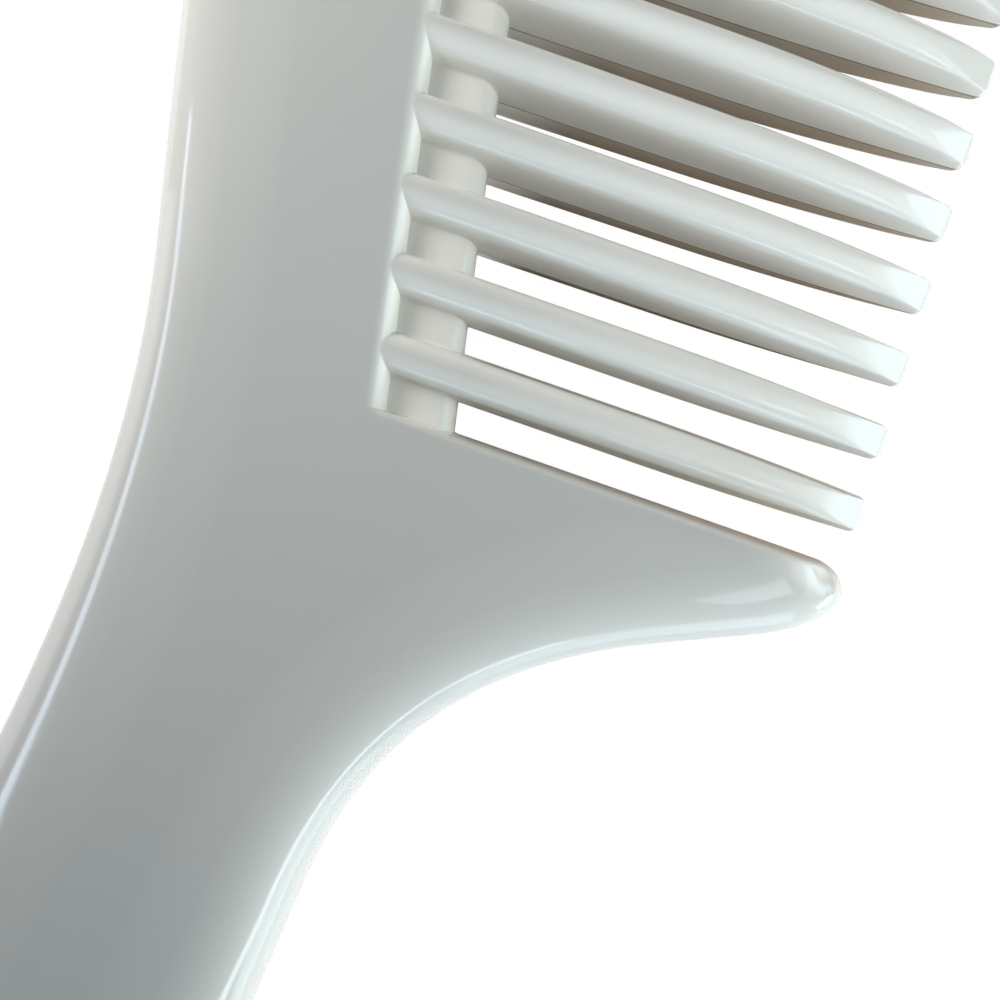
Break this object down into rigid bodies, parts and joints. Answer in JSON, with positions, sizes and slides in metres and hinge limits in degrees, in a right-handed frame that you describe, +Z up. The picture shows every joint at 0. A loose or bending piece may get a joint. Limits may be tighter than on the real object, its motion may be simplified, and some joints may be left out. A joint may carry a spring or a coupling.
{
  "type": "handled comb",
  "caption": "Flat moulded comb with a rounded handle, an arched spine with recessed pockets between the tooth roots, wide tapered teeth and a flared guard at each end of the row.",
  "frame": {"origin": "centre of the bounding box's bottom, under the comb as it lies on its back face", "axes": "+X from the handle's end to the toe, +Y from the tooth tips to the back of the spine, +Z up out of the face that shows"},
  "size_m": [0.2, 0.0595, 0.0062],
  "materials": {
    "moulding": "glossy ivory"
  },
  "bodies": {
    "root": {"handle": "moulding", "spine": "moulding", "heel_guard": "moulding", "toe_guard": "moulding", "tooth_01": "moulding", "tooth_02": "moulding", "tooth_03": "moulding", "tooth_04": "moulding", "tooth_05": "moulding", "tooth_06": "moulding", "tooth_07": "moulding", "tooth_08": "moulding", "tooth_09": "moulding", "tooth_10": "moulding", "tooth_11": "moulding", "tooth_12": "moulding", "tooth_13": "moulding", "tooth_14": "moulding"}
  },
  "joints": []
}
